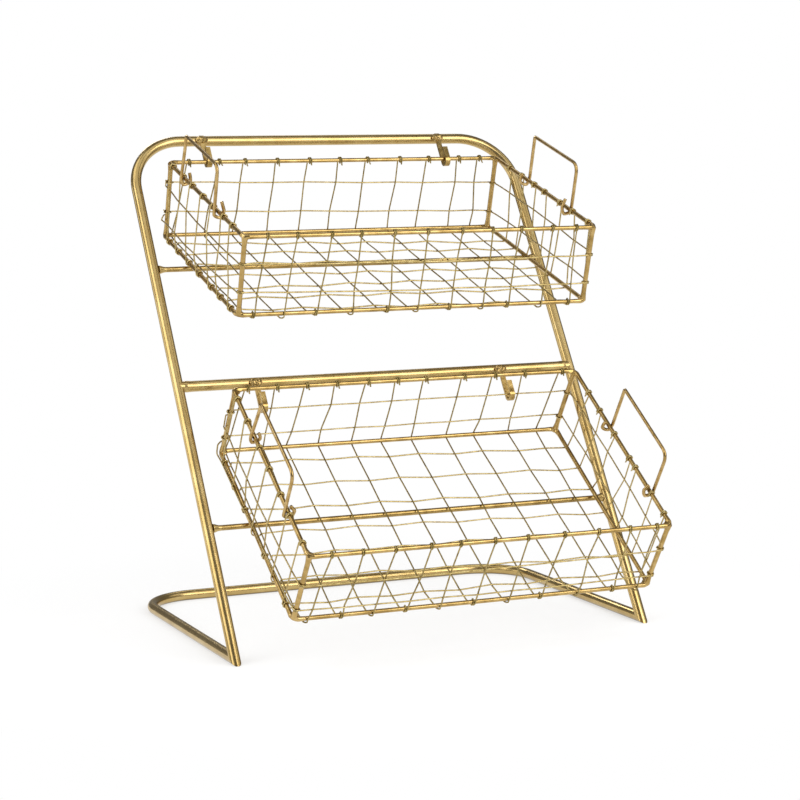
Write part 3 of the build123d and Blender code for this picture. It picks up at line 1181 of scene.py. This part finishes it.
    def build(self) -> None:
        """Builds the surround, the floor, the dark screen, the cards and the lights."""
        self.build_world()
        self.build_floor()
        self.build_flags()
        for card in self.cards:
            self.add_card(*card)
        for light in self.lights:
            self.add_light(*light)


@dataclass
class PhotoCamera:
    """The camera that matches the photograph's point of view."""

    place: tuple = (-821.739, -1924.055, 448.029)
    azimuth: float = -23.186
    elevation: float = 6.528
    roll: float = -0.601
    focal: float = 101.858
    sensor: float = 36.0

    def build(self) -> None:
        """Creates the camera and makes it the scene's own."""
        az, el, ro = (radians(a) for a in (self.azimuth, self.elevation, self.roll))
        forward = Vector((-sin(az) * cos(el), cos(az) * cos(el), -sin(el)))
        right = Vector((cos(az), sin(az), 0))
        up = right.cross(forward)
        right, up = right * cos(ro) + up * sin(ro), up * cos(ro) - right * sin(ro)
        deselect_all()
        bpy.ops.object.camera_add()
        camera = bpy.context.object
        turn = Matrix((right, up, -forward)).transposed().to_4x4()
        camera.matrix_world = Matrix.Translation(Vector(self.place) * MM) @ turn
        camera.data.sensor_width = self.sensor
        camera.data.lens = self.focal
        camera.data.clip_end = 100
        bpy.context.scene.camera = camera


def upper_basket() -> Basket:
    """Sizes up the upper basket, whose wires are read off the photograph one by one.

    Returns:
        The basket, hung by its back rim.
    """
    return Basket(
        tier="upper", side_shift=6, back_y=158.244, rim_z=429.836, tilt=16.6994,
        lengthwise=(
            (.054, .143, .219, .315, .412, .504, .589, .69, .78, .876, .942),
            (.024, .120, .203, .307, .403, .493, .579, .679, .768, .873, .943),
            (.044, .125, .216, .316, .417, .501, .596, .69, .766, .864, .95),
            (.061, .142, .236, .318, .411, .505, .604, .692, .776, .869, .941)),
        crosswise=(
            (.057, .20, .329, .474, .61, .745, .857),
            (.081, .212, .358, .499, .659, .778, .91),
            (.178, .283, .4, .536, .646, .804, .96),
            (.149, .27, .401, .506, .661, .783, .929)),
        hoop_drops=((19.8, 25.8, 27.0, 25.2), (49.5, 56.2, 54.5, 51.4)),
        bulges={Side.BACK: 0.0, Side.FRONT: 0.5, Side.LEFT: 5.0, Side.RIGHT: 3.0},
        front_turns=(BottomTurn.TIGHT, BottomTurn.LOOSE),
        left_turns=(BottomTurn.TIGHT, BottomTurn.TIGHT),
        end_drops=(22.5, 57.5), end_loop=2.5)


def lower_basket() -> Basket:
    """Sizes up the lower basket in the same way.

    Returns:
        The basket, hung by the upper hoop of its back wall.
    """
    return Basket(
        tier="lower", side_shift=11, back_y=-2.885, rim_z=227.180, tilt=33.6043,
        lengthwise=(
            (.036, .118, .202, .287, .377, .462, .545, .659, .751, .841, .956),
            (.017, .124, .19, .282, .379, .466, .557, .662, .746, .853, .941),
            (.037, .13, .212, .304, .396, .492, .588, .682, .786, .893, .962),
            (.057, .139, .225, .321, .4, .495, .586, .689, .787, .877, .955)),
        crosswise=(
            (.057, .198, .36, .49, .641, .761, .918),
            (.065, .215, .358, .489, .631, .759, .906),
            (.115, .252, .393, .542, .651, .807, .91),
            (.147, .268, .423, .579, .639, .802, .924)),
        hoop_drops=((25.6, 25.6, 28.7, 32.6), (56.3, 55.8, 60.0, 61.5)),
        bulges={Side.BACK: 0.0, Side.FRONT: 0.5, Side.LEFT: 2.8, Side.RIGHT: 3.0},
        front_turns=(BottomTurn.LOOSE, BottomTurn.TIGHT),
        left_turns=(BottomTurn.TIGHT, BottomTurn.LOOSE),
        end_drops=(42.0, 75.0), end_loop=11.0)


def main() -> None:
    """Builds every sub-assembly in order."""
    logging.basicConfig(level=logging.INFO, format="%(message)s")
    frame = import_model()
    bpy.context.scene.view_settings.view_transform = "Standard"
    PhotoCamera().build()
    Studio().build()
    shop = BrassShop()
    Stand().build(shop, frame["nodes"])
    # Where the left and right handles sit on their rims, the free ends of their eyes, and how far
    # the back feet of the left ones were pushed back
    for basket, shares, tip in ((upper_basket(), (0.47, 0.53), (-2.9, 8.8)),
                                (lower_basket(), (0.54, 0.58), (-1.4, 5.6))):
        basket.build(shop)
        for side, share, spread in zip((Side.LEFT, Side.RIGHT), shares, (6.0, 0.0)):
            BailHandle(basket, side, share, tip=tip, spread=spread).build(shop)


if __name__ == "__main__":
    main()
